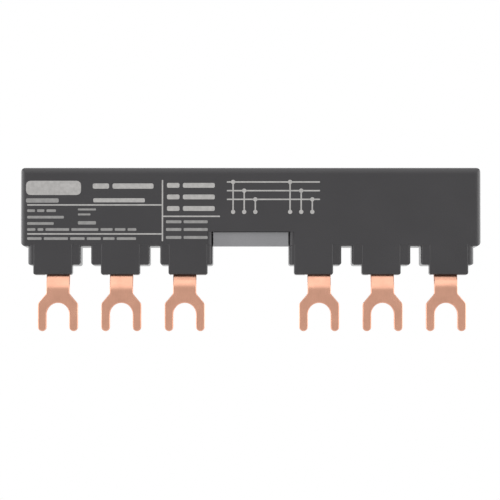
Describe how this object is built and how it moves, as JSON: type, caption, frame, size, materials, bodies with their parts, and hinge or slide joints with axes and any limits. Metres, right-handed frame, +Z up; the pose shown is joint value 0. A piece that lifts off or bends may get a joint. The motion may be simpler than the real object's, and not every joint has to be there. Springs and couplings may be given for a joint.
{
  "type": "three-phase busbar",
  "caption": "Insulated three-phase busbar link: slim moulded housing with stepped towers along its lower edge, from which forked copper tongues reach down to the terminals of breakers.",
  "frame": {"origin": "centre of the first fork's round slot end, in the middle of the copper's thickness", "axes": "+X along the row of breakers, +Y from the printed face to the back, +Z up, away from the fork tips"},
  "size_m": [0.0953, 0.0117, 0.0339],
  "materials": {
    "housing_black": "moulded, fine matt texture",
    "cover_grey": "moulded, fine matt texture",
    "separator_natural": "cut sheet",
    "copper": "bare rolled copper"
  },
  "bodies": {
    "root": {"housing": "housing_black", "rear_cover": "cover_grey", "separator_front": "separator_natural", "separator_rear": "separator_natural", "phase_bar_l1": "copper", "phase_bar_l2": "copper", "phase_bar_l3": "copper"}
  },
  "joints": []
}
